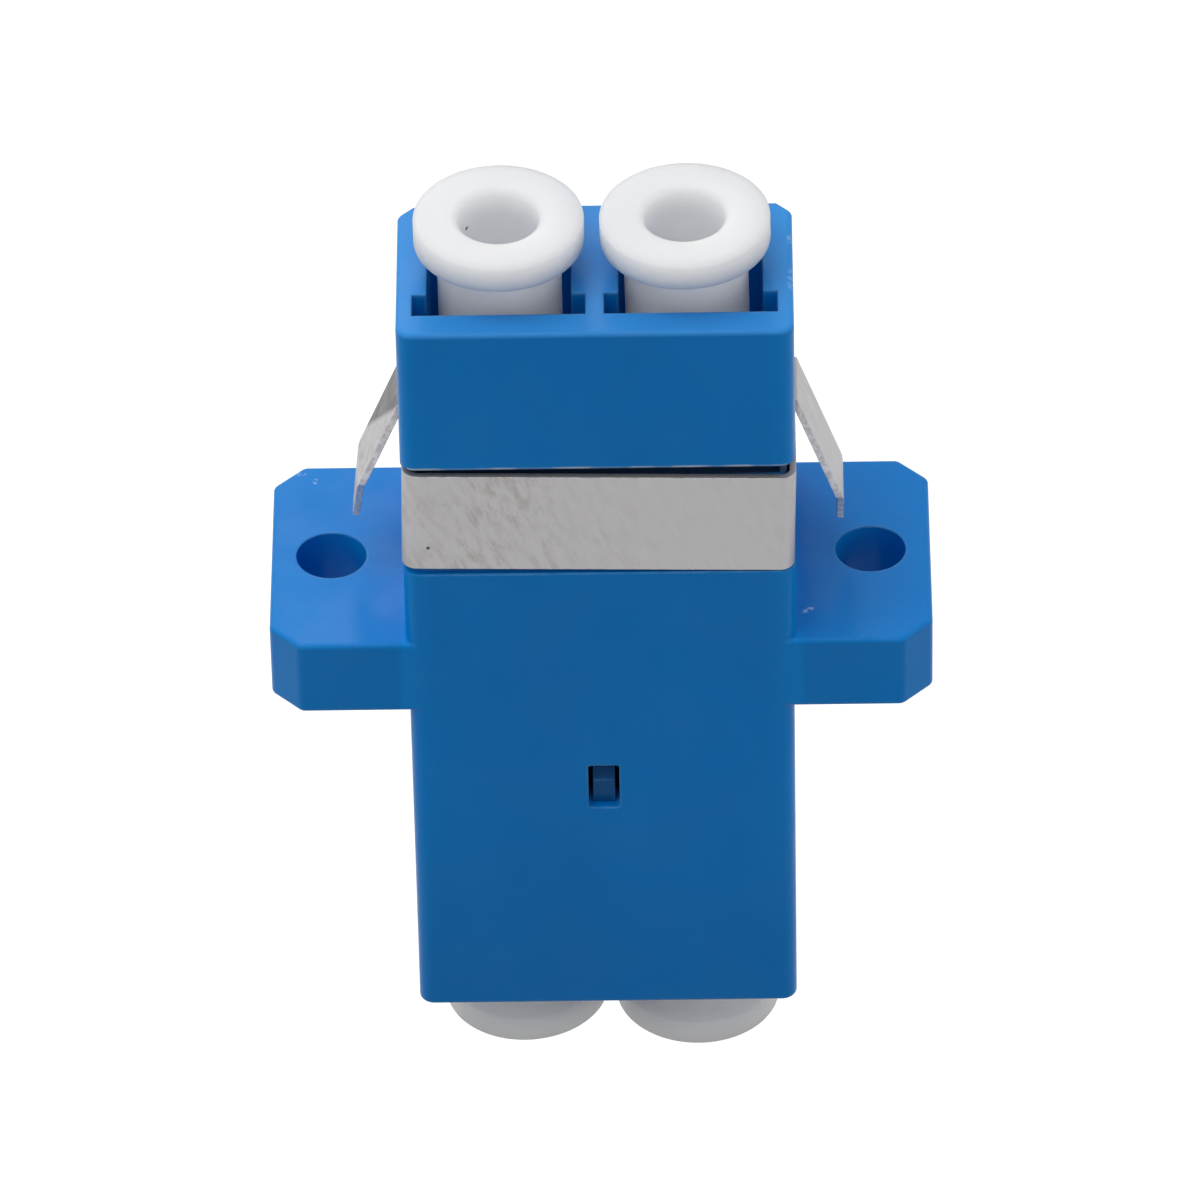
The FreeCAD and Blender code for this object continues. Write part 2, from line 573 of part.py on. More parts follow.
def make_dust_cap(label, side, end, lean, out):
    """A hat-shaped plug: a tube with a blind bore at each end and a rim that stands off the port.

    It is turned round its own axis, from the tube's end at 0 up to the rim's face.
    """
    turn = Rotation(Vector(0, 1, 0), lean)
    if end < 0:
        turn = Rotation(Vector(0, 1, 0), 180 - lean)
    place = (f"{side} * port_pitch / 2", AXIS, f"mid_height + {end} * (cap_seat + {out})")
    body = new_body(label, turn, place)
    profile = new_sketch(body, "cap_profile", "XZ_Plane")
    rim_floor = "cap_length - rim_thickness"
    draw_outline(profile, [
        ("0", "inner_bore_depth"), ("cap_bore / 2", "inner_bore_depth"), ("cap_bore / 2", "0"),
        ("cap_tube / 2", "0"), ("cap_tube / 2", rim_floor), ("cap_rim / 2", rim_floor),
        ("cap_rim / 2", "cap_length"), ("cap_bore / 2", "cap_length"),
        ("cap_bore / 2", "cap_length - outer_bore_depth"), ("0", "cap_length - outer_bore_depth")])
    turn_profile(body, "turned_cap", profile)
    dress(body, "Chamfer", "rim_edges", "rim_chamfer",
          lambda edge: is_ring(edge, "cap_rim / 2", "cap_length", rim_floor))
    dress(body, "Chamfer", "bore_mouth", "bore_chamfer",
          lambda edge: is_ring(edge, "cap_bore / 2", "cap_length"))


# ---------------------------------------------------------------------------------------------
# Build, check and write
# ---------------------------------------------------------------------------------------------

def check_document():
    """Stop at the first failed object or bad shape."""
    doc.recompute()
    for item in doc.Objects:
        if "Invalid" in item.State or "Error" in item.State:
            raise RuntimeError(f"{item.Name} failed: {item.State}")
    for body in doc.findObjects("PartDesign::Body"):
        if body.Shape.isNull() or not body.Shape.isValid() or len(body.Shape.Solids) != 1:
            raise RuntimeError(f"{body.Label} isn't one valid solid")


def write_parts():
    """One STEP file for each sub-part, named after its label."""
    os.makedirs("parts", exist_ok=True)
    for body in doc.findObjects("PartDesign::Body"):
        body.Shape.exportStep(f"parts/{body.Label}.step")
        box = body.Shape.BoundBox
        print(f"{body.Label:22s} {body.Shape.Volume:9.2f} mm3"
              f"  x {box.XMin:7.2f} {box.XMax:7.2f}  y {box.YMin:6.2f} {box.YMax:6.2f}"
              f"  z {box.ZMin:6.2f} {box.ZMax:6.2f}")


SHEET = make_sheet()
make_housing()
make_front_holder()
make_rear_holder()
make_split_sleeve("split_sleeve_left", "-")
make_split_sleeve("split_sleeve_right", "")
make_spring_clip()
for cap, traits in DUST_CAPS.items():
    make_dust_cap(cap, *traits)
check_document()
write_parts()
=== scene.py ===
"""Looks of an LC duplex fibre adapter: blue moulded housing, folded steel clip and four white dust caps.

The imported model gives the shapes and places, and the dust caps get softer shapes of their own.
Lengths named *_MM are in millimetres, and patterns are drawn in millimetres on Object coordinates.
"""
import math

import bpy
import numpy as np
from mathutils import Matrix, Vector


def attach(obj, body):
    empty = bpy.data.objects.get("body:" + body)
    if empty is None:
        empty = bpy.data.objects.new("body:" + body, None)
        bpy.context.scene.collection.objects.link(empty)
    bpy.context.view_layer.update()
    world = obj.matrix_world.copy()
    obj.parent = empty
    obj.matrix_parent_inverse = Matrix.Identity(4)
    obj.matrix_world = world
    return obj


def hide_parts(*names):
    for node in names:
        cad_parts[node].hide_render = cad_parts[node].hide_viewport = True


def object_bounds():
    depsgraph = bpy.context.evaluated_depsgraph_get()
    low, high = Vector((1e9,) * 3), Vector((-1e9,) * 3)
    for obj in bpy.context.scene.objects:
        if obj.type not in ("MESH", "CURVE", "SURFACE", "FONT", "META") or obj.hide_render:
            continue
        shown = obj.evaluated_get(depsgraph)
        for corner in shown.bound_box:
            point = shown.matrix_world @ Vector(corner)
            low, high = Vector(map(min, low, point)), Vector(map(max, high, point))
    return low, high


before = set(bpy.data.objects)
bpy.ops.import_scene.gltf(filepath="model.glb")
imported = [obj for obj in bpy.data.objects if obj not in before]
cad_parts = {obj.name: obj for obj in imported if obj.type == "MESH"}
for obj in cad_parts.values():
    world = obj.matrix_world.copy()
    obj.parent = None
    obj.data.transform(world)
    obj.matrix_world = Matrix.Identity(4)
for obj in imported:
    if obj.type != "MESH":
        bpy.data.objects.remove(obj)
CAD_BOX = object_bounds()
MM = 0.001
PER_MM = (1 / MM,) * 3

# Where the finishes find the housing and the clip: heights above the rear dust caps' rims, and
# distances from the middle to the body's side and to where the wings begin.
MIDDLE_MM = 17.25
EAR_TOP_MM = 18.7
GROOVE_MM = 25.93
PORT_FACE_MM = 31.8
BODY_SIDE_MM = 6.47
WING_SIDE_MM = 6.5

# Dust caps: radii, lengths, and how far they are pulled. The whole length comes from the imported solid.
RIM_MM, RIM_THICK_MM, TUBE_MM, BORE_MM = 2.785, 1.0, 2.03, 1.39
MOUTH_MM, OUTER_DEPTH_MM, INNER_DEPTH_MM = 1.33, 7.4, 4.6
CAP_TRAVEL_MM = 15.0
TURN_STEPS = 128


# ---------------------------------------------------------------------------------------------
# Small tools for node materials
# ---------------------------------------------------------------------------------------------

class Nodes:
    """A node tree, and short calls that add nodes to it and join them."""

    def __init__(self, tree):
        self.tree = tree
        self.tree.nodes.clear()

    def add(self, kind, **settings):
        node = self.tree.nodes.new(kind)
        for key, value in settings.items():
            setattr(node, key, value)
        return node

    def join(self, source, target):
        self.tree.links.new(source, target)

    def feed(self, socket, value):
        """Joins a socket to another node's output, or sets its own value."""
        if isinstance(value, bpy.types.NodeSocket):
            self.join(value, socket)
        else:
            socket.default_value = value

    def ramp(self, value, low, high, out_low=0.0, out_high=1.0):
        """Value carried smoothly from low..high to out_low..out_high, and held at the ends."""
        node = self.add("ShaderNodeMapRange", interpolation_type="SMOOTHSTEP")
        self.feed(node.inputs["Value"], value)
        ends = {"From Min": low, "From Max": high, "To Min": out_low, "To Max": out_high}
        for key, number in ends.items():
            node.inputs[key].default_value = number
        return node.outputs["Result"]

    def calc(self, operation, first, second=0.0):
        node = self.add("ShaderNodeMath", operation=operation)
        self.feed(node.inputs[0], first)
        self.feed(node.inputs[1], second)
        return node.outputs["Value"]

    def product(self, first, *others):
        """Values multiplied together, such as masks that have to agree."""
        for other in others:
            first = self.calc("MULTIPLY", first, other)
        return first

    def band(self, value, low, rise, fall, high):
        """1 from rise to fall, fading to 0 at low and at high."""
        return self.product(self.ramp(value, low, rise), self.ramp(value, fall, high, 1.0, 0.0))

    def seen(self):
        """1 for rays that show a surface, straight, mirrored or through another, and 0 for its light."""
        path = self.add("ShaderNodeLightPath")
        shown = self.calc("MAXIMUM", path.outputs["Is Camera Ray"], path.outputs["Is Glossy Ray"])
        return self.calc("MAXIMUM", shown, path.outputs["Is Transmission Ray"])


class Finish(Nodes):
    """One material with a Principled shader, whose patterns are placed in millimetres."""

    def __init__(self, name):
        self.material = bpy.data.materials.new(name)
        self.material.use_nodes = True
        super().__init__(self.material.node_tree)
        self.output = self.add("ShaderNodeOutputMaterial")
        self.shader = self.add("ShaderNodeBsdfPrincipled")
        self.join(self.shader.outputs["BSDF"], self.output.inputs["Surface"])
        coordinates = self.add("ShaderNodeTexCoord")
        self.place = self.mapped(coordinates.outputs["Object"], scale=PER_MM)

    def set(self, **values):
        """Values that are the same all over, on the shader's own sockets."""
        for key, value in values.items():
            self.shader.inputs[key.replace("_", " ")].default_value = value

    def mapped(self, source, location=(0, 0, 0), rotation=(0, 0, 0), scale=(1, 1, 1), kind="POINT"):
        """A vector moved, turned by angles in degrees, and scaled."""
        node = self.add("ShaderNodeMapping", vector_type=kind)
        self.join(source, node.inputs["Vector"])
        node.inputs["Location"].default_value = location
        node.inputs["Rotation"].default_value = [math.radians(angle) for angle in rotation]
        node.inputs["Scale"].default_value = scale
        return node.outputs["Vector"]

    def noise(self, per_mm, detail=2.0, rough=0.5, stretch=(1, 1, 1), turn=(0, 0, 0)):
        """Noise with so many features per millimetre, turned, then stretched along the turned axes."""
        place = self.mapped(self.place, rotation=turn)
        place = self.mapped(place, scale=[per_mm / length for length in stretch])
        node = self.add("ShaderNodeTexNoise")
        self.join(place, node.inputs["Vector"])
        node.inputs["Scale"].default_value = 1.0
        node.inputs["Detail"].default_value = detail
        node.inputs["Roughness"].default_value = rough
        return node.outputs["Fac"]

    def mix(self, share, first, second):
        """Colour between first, at share 0, and second, at share 1."""
        node = self.add("ShaderNodeMix", data_type="RGBA")
        factor, start, end = node.inputs[0], node.inputs[6], node.inputs[7]
        self.feed(factor, share)
        self.feed(start, first)
        self.feed(end, second)
        return node.outputs[2]

    def patch(self, centre, reach, turn=(0, 0, 0), core=0.35):
        """1 in the core of an ellipsoid round a place in millimetres, fading to 0 at its reach."""
        local = self.mapped(self.place, location=centre, rotation=turn, scale=reach, kind="TEXTURE")
        node = self.add("ShaderNodeVectorMath", operation="LENGTH")
        self.join(local, node.inputs[0])
        return self.ramp(node.outputs["Value"], core, 1.0, 1.0, 0.0)

    def bump(self, height, depth_mm, strength, below=None):
        """The normal, or the one below, tilted by a height pattern of that depth, as far as strength."""
        node = self.add("ShaderNodeBump")
        node.inputs["Distance"].default_value = depth_mm * MM
        node.inputs["Strength"].default_value = strength
        self.feed(node.inputs["Height"], height)
        if below is not None:
            self.join(below, node.inputs["Normal"])
        return node.outputs["Normal"]

    def edges(self, radius_mm):
        """The normal turned smoothly over each sharp edge, as if the edge had that radius."""
        node = self.add("ShaderNodeBevel", samples=3)
        node.inputs["Radius"].default_value = radius_mm * MM
        return node.outputs["Normal"]

    def corner_mask(self, rounded):
        """1 along corners, where the rounded normal leaves the face's own by 31 degrees or more, and 0
        where it leaves it by less than 10.
        """
        surface = self.add("ShaderNodeNewGeometry")
        turn = self.add("ShaderNodeVectorMath", operation="DOT_PRODUCT")
        self.join(rounded, turn.inputs[0])
        self.join(surface.outputs["Normal"], turn.inputs[1])
        return self.ramp(turn.outputs["Value"], 0.86, 0.985, 1.0, 0.0)

    def axes(self):
        """The place's x, y and z in millimetres."""
        node = self.add("ShaderNodeSeparateXYZ")
        self.join(self.place, node.inputs["Vector"])
        return node.outputs["X"], node.outputs["Y"], node.outputs["Z"]


def rgb(red, green, blue):
    return (red, green, blue, 1.0)


# ---------------------------------------------------------------------------------------------
# Finishes
# ---------------------------------------------------------------------------------------------

# Paler blue for worn corners, which is also a painted edge highlight, and for a painted sheen on the port
# face.
WORN_AND_HIGHLIT_BLUE = rgb(0.17, 0.46, 0.86)
# Pale for scuffs of wear, and for the painted highlight along the groove's upper edge.
SCUFF_AND_HIGHLIGHT_WHITE = rgb(0.62, 0.74, 0.86)
# Painted highlight beside the body's long corners.
EDGE_HIGHLIGHT_BLUE = rgb(0.0, 0.250, 0.720)
# Painted shade towards the rear end.
REAR_PAINTED_SHADE_BLUE = rgb(0.0, 0.140, 0.440)
# Painted shade in the groove over the clip.
GROOVE_PAINTED_SHADE = rgb(0.030, 0.048, 0.090)


def moulded_blue(name, deep, light):
    """Satin blue plastic: slow clouds from the melt's flow, fine spark grain, and soft paler corners from
    wear and painted edge highlight.
    """
    skin = Finish(name)
    cloud = skin.ramp(skin.noise(0.16, detail=3.0, stretch=(1, 1, 2.2)), 0.3, 0.7)
    fleck = skin.ramp(skin.noise(5.0), 0.35, 0.7)
    tone = skin.mix(cloud, deep, light)
    tone = skin.mix(skin.product(fleck, 0.10), tone, light)
    skin.set(Specular_IOR_Level=0.12, IOR=1.5)
    skin.roughness = skin.ramp(skin.noise(0.5, detail=4.0), 0.3, 0.7, 0.27, 0.36)
    rounded = skin.edges(0.12)
    skin.normal = skin.bump(skin.noise(11.0, detail=3.0, rough=0.6), 0.0022, 0.6, below=rounded)
    patchy_edges = skin.ramp(skin.noise(1.3, detail=3.0), 0.35, 0.65, 0.35, 0.85)
    worn_and_highlit = skin.product(skin.corner_mask(rounded), patchy_edges, away_from_ears(skin))
    # Paler corners: edge wear, and painted edge highlights.
    skin.blue = skin.mix(worn_and_highlit, tone, WORN_AND_HIGHLIT_BLUE)
    return skin


def away_from_ears(skin):
    """0 in the corners where the flange's ears meet the body, which hands don't rub and which get no
    painted edge highlight, and 1 elsewhere.
    The body's side and the ears' two faces each lie in the middle of a band.
    """
    across, _, height = skin.axes()
    beside = skin.band(skin.calc("ABSOLUTE", across), 6.2, 6.3, 6.65, 6.75)
    level = skin.calc("ABSOLUTE", skin.calc("SUBTRACT", height, MIDDLE_MM))
    above = skin.band(level, 1.2, 1.3, 1.6, 1.7)
    return skin.calc("SUBTRACT", 1.0, skin.product(beside, above))


def scuff(skin, place, reach, turn, strength):
    """A pale scuffed mark of wear, broken up by fine noise."""
    broken = skin.ramp(skin.noise(6.0, detail=3.0), 0.42, 0.58)
    share = skin.product(skin.patch(place, reach, (0, 0, turn)), broken, strength)
    skin.blue = skin.mix(share, skin.blue, SCUFF_AND_HIGHLIGHT_WHITE)


def finish_blue(skin):
    """The blue material, once all its wear is in."""
    skin.join(skin.blue, skin.shader.inputs["Base Color"])
    skin.join(skin.roughness, skin.shader.inputs["Roughness"])
    skin.join(skin.normal, skin.shader.inputs["Normal"])
    return skin.material


def housing_painted_light(skin):
    """Painted highlights in strips beside the body's long corners, a painted sheen on the port face, and
    painted shade deepening towards the rear end.
    """
    across, _, height = skin.axes()
    side = skin.calc("ABSOLUTE", across)
    past = BODY_SIDE_MM + 0.08
    # Painted highlight in strips beside the body's long corners.
    edge_highlight = skin.product(skin.ramp(side, 5.3, 6.5), skin.ramp(side, past, past + 0.25, 0.6, 0.0))
    skin.blue = skin.mix(edge_highlight, skin.blue, EDGE_HIGHLIGHT_BLUE)
    # Painted shade, deepening towards the rear end.
    skin.blue = skin.mix(skin.ramp(height, 2.0, 14.0, 0.5, 0.0), skin.blue, REAR_PAINTED_SHADE_BLUE)
    # Painted sheen on the port face.
    painted_sheen = skin.ramp(height, PORT_FACE_MM - 0.2, PORT_FACE_MM - 0.05, 0.0, 0.16)
    skin.blue = skin.mix(painted_sheen, skin.blue, WORN_AND_HIGHLIT_BLUE)


def relief_groove(skin):
    """The groove over the clip's band: painted shade inside, and a painted highlight, broken by noise,
    along its upper edge on the window face only.
    """
    _, depth, height = skin.axes()
    # Painted highlight along the groove's upper edge, on the window face.
    lip = skin.band(height, GROOVE_MM + 0.20, GROOVE_MM + 0.23, GROOVE_MM + 0.29, GROOVE_MM + 0.34)
    lip = skin.product(lip, skin.ramp(depth, -4.66, -4.60, 1.0, 0.0))
    broken = skin.ramp(skin.noise(0.8, detail=4.0), 0.40, 0.60, 0.15, 0.75)
    skin.blue = skin.mix(skin.product(lip, broken), skin.blue, SCUFF_AND_HIGHLIGHT_WHITE)
    # Painted shade inside the groove.
    inside = skin.patch((0, -4.1, GROOVE_MM), (13, 0.58, 0.5), core=0.8)
    skin.blue = skin.mix(skin.product(inside, 0.9), skin.blue, GROOVE_PAINTED_SHADE)


# Pale marks of wear: place, reach, turn about the upright in degrees, and strength.
SCUFFS = (
    ((6.4, 0.13, PORT_FACE_MM), (0.16, 0.4, 0.2), 0, 0.6),  # right edge of the port face, rear and front
    ((6.4, -2.0, PORT_FACE_MM), (0.16, 0.9, 0.2), 0, 0.6),
    ((6.87, -3.13, EAR_TOP_MM), (0.3, 0.14, 0.2), 35, 0.6),  # scratch on the right ear
    ((-10.2, 4.3, EAR_TOP_MM), (0.35, 0.12, 0.2), 0, 0.5),  # two nicks at the left ear's rear corner
    ((-9.6, 3.9, EAR_TOP_MM), (0.12, 0.22, 0.2), 0, 0.5),
)


def housing_finish():
    """The housing's blue, with its scuffs, its painted highlights and shade, and painted shade in the
    groove over the clip.
    """
    skin = moulded_blue("housing_blue", deep=rgb(0.0, 0.192, 0.585), light=rgb(0.0, 0.213, 0.640))
    for place, reach, turn, strength in SCUFFS:
        scuff(skin, place, reach, turn, strength)
    housing_painted_light(skin)
    relief_groove(skin)
    return finish_blue(skin)


def holder_finish():
    """A deeper blue of the same plastic for the two holder halves, which lie inside the housing: the
    deeper blue is painted shade, for they lie in shade.
    """
    skin = moulded_blue("holder_blue", deep=rgb(0.0, 0.090, 0.270), light=rgb(0.0, 0.105, 0.300))
    return finish_blue(skin)


STEEL_BRIGHT = rgb(0.480, 0.470, 0.480)
STEEL_SMEARED = rgb(0.370, 0.350, 0.330)
STEEL_SPARK = rgb(0.50, 0.49, 0.50)
# Painted shade for the left wing's upper part.
STEEL_PAINTED_SHADE = rgb(0.105, 0.104, 0.110)
STEEL_PIT = rgb(0.05, 0.05, 0.05)
# Bright corners: wear, and painted edge highlight.
CORNER_WORN_AND_HIGHLIT = rgb(0.80, 0.80, 0.82)
SHEARED_BRIGHT = rgb(0.86, 0.86, 0.88)
BURR_DARK = rgb(0.13, 0.12, 0.12)


def steel_finish():
    """Satin stainless sheet: slanting mottled smears, mostly on the left, burred sheared edges, bright
    corners of wear and painted highlight, and painted shade on the left wing.
    """
    sheet = Finish("clip_steel_satin")
    stroke = sheet.noise(3.4, detail=5.0, rough=0.66, stretch=(1, 1, 3.2), turn=(0, 22, 0))
    cloud = sheet.ramp(sheet.noise(0.42), 0.35, 0.65, 0.3, 1.0)
    left = sheet.ramp(sheet.axes()[0], -3.0, 2.0, 1.0, 0.18)
    smear = sheet.product(sheet.ramp(stroke, 0.42, 0.66), cloud, left)
    fine = sheet.noise(16.0)
    tone = sheet.mix(smear, STEEL_BRIGHT, STEEL_SMEARED)
    tone = sheet.mix(sheet.ramp(fine, 0.4, 0.7, 0.0, 0.25), tone, STEEL_SPARK)
    # Painted shade on the upper part of the left wing.
    tone = sheet.mix(left_wing_shade(sheet), tone, STEEL_PAINTED_SHADE)
    pit = sheet.patch((-5.62, -4.7, 22.87), (0.09, 0.2, 0.09))
    tone = sheet.mix(pit, tone, STEEL_PIT)
    rounded = sheet.edges(0.035)
    corner = sheet.corner_mask(rounded)
    burr = sheet.ramp(sheet.noise(5.0, detail=3.0), 0.50, 0.62)
    # Bright corners where not burred: wear and painted edge highlight.
    tone = sheet.mix(sheet.product(corner, sheet.calc("SUBTRACT", 0.8, burr)), tone, CORNER_WORN_AND_HIGHLIT)
    uneven = sheet.ramp(sheet.noise(6.5, detail=4.0), 0.38, 0.62, 0.60, 0.15)
    tone = sheet.mix(sheet.product(wing_edges(sheet), uneven), tone, SHEARED_BRIGHT)
    tone = sheet.mix(sheet.product(corner, burr, 0.7), tone, BURR_DARK)
    sheet.join(tone, sheet.shader.inputs["Base Color"])
    sheet.set(Metallic=0.6, Specular_IOR_Level=0.3)
    sheet.join(sheet.ramp(stroke, 0.3, 0.7, 0.40, 0.50), sheet.shader.inputs["Roughness"])
    sheet.join(sheet.bump(fine, 0.0006, 0.5, below=rounded), sheet.shader.inputs["Normal"])
    return sheet.material


def wing_edges(sheet):
    """The sheared front and rear edges of both wings: faces there that point mostly along Y."""
    surface = sheet.add("ShaderNodeNewGeometry")
    way = sheet.add("ShaderNodeSeparateXYZ")
    sheet.join(surface.outputs["True Normal"], way.inputs["Vector"])
    cut = sheet.ramp(sheet.calc("ABSOLUTE", way.outputs["Y"]), 0.6, 0.8)
    side = sheet.calc("ABSOLUTE", sheet.axes()[0])
    return sheet.product(cut, sheet.ramp(side, WING_SIDE_MM + 0.05, WING_SIDE_MM + 0.2))


def left_wing_shade(sheet):
    """Painted shade on the upper part of the left wing, with a soft boundary that falls towards its rear
    edge. The boundary is where the height plus fall times the depth passes from bright to shaded.
    """
    across, depth, height = sheet.axes()
    fall, bright_mm, shaded_mm = 1.15, 24.45, 24.85
    upper = sheet.ramp(sheet.calc("ADD", height, sheet.product(depth, fall)), bright_mm, shaded_mm)
    narrow = sheet.ramp(sheet.calc("ABSOLUTE", depth), 1.2, 1.3, 1.0, 0.0)
    outside = sheet.ramp(across, -WING_SIDE_MM - 0.1, -WING_SIDE_MM, 1.0, 0.0)
    uneven_shade = sheet.ramp(sheet.noise(0.9, detail=3.0), 0.3, 0.7, 0.75, 1.0)
    return sheet.product(upper, outside, narrow, uneven_shade)


def ceramic_finish():
    """Ground zirconia: warm white with fine grinding rings and a polished sheen."""
    tube = Finish("zirconia_ground")
    rings = tube.noise(6.0, detail=3.0, stretch=(5, 5, 1))
    cloud = tube.ramp(tube.noise(1.2), 0.3, 0.7)
    tone = tube.mix(cloud, rgb(0.82, 0.80, 0.74), rgb(0.88, 0.87, 0.82))
    tube.join(tone, tube.shader.inputs["Base Color"])
    tube.join(tube.ramp(rings, 0.3, 0.7, 0.12, 0.24), tube.shader.inputs["Roughness"])
    tube.join(tube.bump(rings, 0.001, 0.5), tube.shader.inputs["Normal"])
    tube.set(IOR=2.1)
    return tube.material


def cap_finish():
    """Soft white polyethylene: waxy, faintly cloudy, with a fine orange-peel skin."""
    wax = Finish("cap_polyethylene")
    cloud = wax.ramp(wax.noise(0.7, detail=3.0), 0.3, 0.7)
    tone = wax.mix(cloud, rgb(0.978, 0.978, 0.982), rgb(0.986, 0.986, 0.988))
    speck = wax.patch((-4.17, -0.34, 32.8), (0.1, 0.1, 0.1))  # in the left front cap's outer bore
    wax.join(wax.mix(speck, tone, rgb(0.12, 0.11, 0.10)), wax.shader.inputs["Base Color"])
    wax.join(wax.ramp(wax.noise(2.0, detail=3.0), 0.3, 0.7, 0.38, 0.50), wax.shader.inputs["Roughness"])
    wax.join(wax.bump(wax.noise(4.0, detail=3.0), 0.004, 0.5), wax.shader.inputs["Normal"])
    wax.set(Specular_IOR_Level=0.22, Subsurface_Weight=1.0, Subsurface_Scale=3.2 * MM,
            Subsurface_Radius=(1.0, 1.0, 1.0))
    return wax.material


def floor_finish():
    """Paper that shows as white with a faint shadow, and that lights the object as light grey would."""
    paper = Finish("paper_floor")
    white_glow, bounce = 0.86, rgb(0.34, 0.34, 0.34)
    seen = paper.seen()
    grain = paper.ramp(paper.noise(0.05, detail=3.0), 0.3, 0.7, 0.0, 0.02)
    shown = paper.mix(grain, rgb(0.30, 0.30, 0.30), rgb(0.24, 0.24, 0.24))
    diffuse = paper.add("ShaderNodeBsdfDiffuse")
    paper.join(paper.mix(seen, bounce, shown), diffuse.inputs["Color"])
    glow = paper.add("ShaderNodeEmission")
    glow.inputs["Color"].default_value = rgb(1, 1, 1)
    paper.join(paper.product(seen, white_glow), glow.inputs["Strength"])
    both = paper.add("ShaderNodeAddShader")
    paper.join(diffuse.outputs["BSDF"], both.inputs[0])
    paper.join(glow.outputs["Emission"], both.inputs[1])
    paper.join(both.outputs["Shader"], paper.output.inputs["Surface"])
    paper.tree.nodes.remove(paper.shader)
    return paper.material


# ---------------------------------------------------------------------------------------------
# Surfaces
# ---------------------------------------------------------------------------------------------

def dress(material, *nodes):
    """Gives CAD nodes their finish."""
    for node in nodes:
        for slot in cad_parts[node].material_slots:
            slot.material = material


def arc(centre, radius, start, end, count):
    """Points (r, h) on part of a circle, or of an ellipse with two radii, angles in degrees."""
    angle = np.radians(np.linspace(start, end, count))
    return np.array(centre) + np.broadcast_to(radius, 2) * np.stack([np.cos(angle), np.sin(angle)], -1)


def cap_profile(length):
    """Half of a dust cap's section as (r, h) in millimetres, from the floor of the inner bore, out over
    the tube and the rim, and down to the floor of the outer bore.  Every corner is an arc.
    """
    tube, rim, bore, outer = TUBE_MM, RIM_MM, BORE_MM, MOUTH_MM
    soft, heel, mouth, small = (0.30, 0.13), 0.08, 0.26, 0.12
    shelf, floor = length - RIM_THICK_MM, length - OUTER_DEPTH_MM
    return np.concatenate([
        [(0.0, INNER_DEPTH_MM)],
        arc((bore - small, INNER_DEPTH_MM - small), small, 90, 0, 5),
        arc((bore + small, small), small, 180, 270, 5),
        arc((tube - small, small), small, 270, 360, 5),
        arc((tube + small, shelf - small), small, 180, 90, 5),
        arc((rim - heel, shelf + heel), heel, 270, 360, 11),
        arc((rim - soft[0], length - soft[1]), soft, 0, 90, 13),
        arc((outer + mouth, length - mouth), mouth, 90, 180, 11),
        arc((outer - 2 * small, floor + 2 * small), 2 * small, 0, -90, 6),
        [(0.0, floor)]])


def rim_nub(turn, radius, height):
    """How far a small nub lifts the rim: its rise times a bell exp(-x squared) in the angle round the
    rim and another in the height, and nothing on the tube and in the bores.
    """
    rise_mm, angle, width, level_mm, spread_mm2 = 0.05, math.pi, 0.09, 13.0, 0.08
    away = np.angle(np.exp(1j * (turn - angle)))
    bell = np.exp(-(away / width) ** 2 - (height - level_mm) ** 2 / spread_mm2)
    return rise_mm * bell * (radius > TUBE_MM)


def turned(name, base, axis, profile, lift=None):
    """A closed surface of revolution: profile (r, h) carried round an axis in equal steps, as base
    + h * axis + r * (cos(turn) * side + sin(turn) * across), with each end of the profile on the axis.
    lift gives what is added to r.
    """
    side = axis.orthogonal().normalized()
    side, across, axis = (np.array(vector) for vector in (side, axis.cross(side), axis))
    turn = np.linspace(0, 2 * math.pi, TURN_STEPS, endpoint=False)
    radius = np.repeat(profile[1:-1, :1], TURN_STEPS, axis=1)
    height = np.repeat(profile[1:-1, 1:], TURN_STEPS, axis=1)
    if lift is not None:
        radius = radius + lift(turn, radius, height)
    ring = np.cos(turn)[:, None] * side + np.sin(turn)[:, None] * across
    points = height[..., None] * axis + radius[..., None] * ring[None]
    ends = np.outer(profile[[0, -1], 1], axis)
    places = np.concatenate([points.reshape(-1, 3), ends]) * MM + np.array(base)

    rows = len(profile) - 2
    here = np.arange(TURN_STEPS)
    there = (here + 1) % TURN_STEPS
    row = np.arange(rows - 1)[:, None] * TURN_STEPS
    quads = np.stack([row + here, row + there, row + TURN_STEPS + there, row + TURN_STEPS + here], -1)
    last_row, start, end = (rows - 1) * TURN_STEPS, rows * TURN_STEPS, rows * TURN_STEPS + 1
    lids = np.concatenate([np.stack([np.full_like(here, start), there, here], -1),
                           np.stack([np.full_like(here, end), last_row + here, last_row + there], -1)])
    mesh = bpy.data.meshes.new(name)
    mesh.from_pydata(places.tolist(), [], quads.reshape(-1, 4).tolist() + lids.tolist())
    mesh.polygons.foreach_set("use_smooth", np.ones(len(mesh.polygons), bool))
    mesh.update()
    return mesh


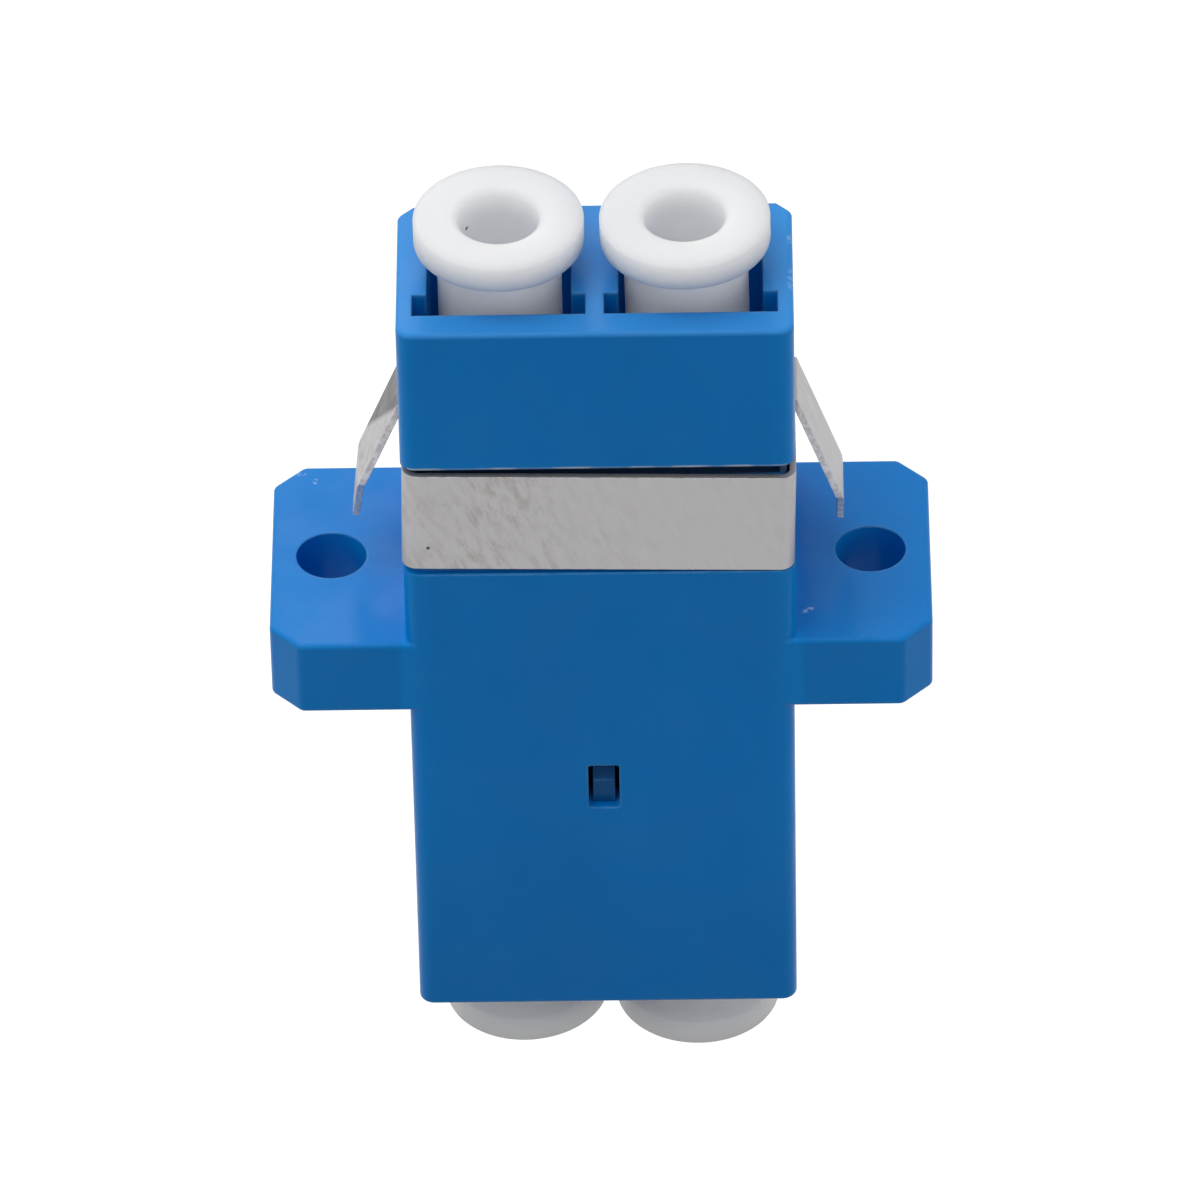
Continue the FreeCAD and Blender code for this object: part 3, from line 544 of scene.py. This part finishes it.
def make_cap(node, material, lift=None):
    """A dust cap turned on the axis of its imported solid, with the soft edges of the real one.  The axis
    is the longest direction of the solid's points, and points from the tube's end to the rim.
    """
    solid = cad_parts[node]
    spots = np.empty(3 * len(solid.data.vertices))
    solid.data.vertices.foreach_get("co", spots)
    spots = np.unique(spots.reshape(-1, 3).round(7), axis=0)
    middle = spots.mean(axis=0)
    long_axis = np.linalg.svd(spots - middle)[2][0]
    outward = 1 if node.startswith("dust_cap_front") else -1
    long_axis *= np.sign(long_axis[2]) * outward
    reach = (spots - middle) @ long_axis
    base = Vector(middle + long_axis * reach.min())
    mesh = turned(f"{node}_soft", base, Vector(long_axis), cap_profile(np.ptp(reach) / MM), lift)
    piece = bpy.data.objects.new(f"{node}_soft", mesh)
    bpy.context.scene.collection.objects.link(piece)
    mesh.materials.append(material)
    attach(piece, node)
    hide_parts(node)


# ---------------------------------------------------------------------------------------------
# Stage
# ---------------------------------------------------------------------------------------------

def lay_floor():
    """A wide square sheet, as far down as the rear dust caps come when they are pulled."""
    half = 1.5
    low = CAD_BOX[0][2] - (CAP_TRAVEL_MM + 0.1) * MM
    corners = [(-half, -half, low), (half, -half, low), (half, half, low), (-half, half, low)]
    mesh = bpy.data.meshes.new("paper_floor")
    mesh.from_pydata(corners, [], [(0, 1, 2, 3)])
    floor = bpy.data.objects.new("paper_floor", mesh)
    bpy.context.scene.collection.objects.link(floor)
    floor.data.materials.append(floor_finish())


# Even panels that face the adapter's middle: place, width and height in metres, and power in watts.
LAMPS = {
    "top_panel": ((-0.16, -0.06, 0.60), 0.5, 0.5, 1.88),
    "gloss_panel": ((-0.03, 0.098, 0.112), 0.07, 0.035, 0.030),
    "left_panel": ((-0.5, -0.05, 0.12), 0.4, 0.4, 0.36),
    "right_panel": ((0.5, -0.10, 0.12), 0.4, 0.4, 0.50),
}
LAMP_AIM = (0, 0, 0.017)


def hang_lamp(name, place, width, height, power):
    lamp = bpy.data.lights.new(name, "AREA")
    lamp.shape, lamp.size, lamp.size_y, lamp.energy = "RECTANGLE", width, height, power
    holder = bpy.data.objects.new(name, lamp)
    bpy.context.scene.collection.objects.link(holder)
    holder.location = place
    holder.rotation_mode = "QUATERNION"
    holder.visible_camera = False
    holder.rotation_quaternion = (Vector(LAMP_AIM) - Vector(place)).to_track_quat("-Z", "Y")


def light_room():
    """A white room that shows at full strength and lights the object at less than half, and the lamps."""
    room_light = 0.44
    world = bpy.data.worlds.new("studio")
    bpy.context.scene.world = world
    world.use_nodes = True
    room = Nodes(world.node_tree)
    walls = room.add("ShaderNodeBackground")
    walls.inputs["Color"].default_value = rgb(1, 1, 1)
    room.join(room.ramp(room.seen(), 0.0, 1.0, room_light, 1.0), walls.inputs["Strength"])
    output = room.add("ShaderNodeOutputWorld")
    room.join(walls.outputs["Background"], output.inputs["Surface"])
    for name, setting in LAMPS.items():
        hang_lamp(name, *setting)


def aim_camera():
    """A long lens, looking down on the window face, turned and rolled a little."""
    elevation, yaw, roll = math.radians(39.82), math.radians(-0.73), math.radians(-1.19)
    aim = Vector((0, -0.1, 18.65)) * MM
    distance = 400.66 * MM
    forward = Vector((math.sin(yaw) * math.cos(elevation), math.cos(yaw) * math.cos(elevation),
                      -math.sin(elevation)))
    level = Vector((math.cos(yaw), -math.sin(yaw), 0))
    upright = level.cross(forward)
    right = math.cos(roll) * level + math.sin(roll) * upright
    up = -math.sin(roll) * level + math.cos(roll) * upright
    lens = bpy.data.cameras.new("long_lens")
    lens.sensor_width, lens.lens = 36.0, 360.0
    lens.shift_x, lens.shift_y = -0.0008, -0.0376
    lens.clip_start, lens.clip_end = 0.05, 10.0
    camera = bpy.data.objects.new("long_lens", lens)
    bpy.context.scene.collection.objects.link(camera)
    turn = Matrix((right, up, -forward)).transposed().to_4x4()
    camera.matrix_world = Matrix.Translation(aim - forward * distance) @ turn
    bpy.context.scene.camera = camera


dress(housing_finish(), "housing")
dress(holder_finish(), "sleeve_holder_front", "sleeve_holder_rear")
dress(ceramic_finish(), "split_sleeve_left", "split_sleeve_right")
dress(steel_finish(), "spring_clip")
CAP = cap_finish()
make_cap("dust_cap_front_left", CAP)
make_cap("dust_cap_front_right", CAP, rim_nub)
make_cap("dust_cap_rear_left", CAP)
make_cap("dust_cap_rear_right", CAP)

lay_floor()
light_room()
aim_camera()
bpy.context.scene.view_settings.view_transform = "Standard"
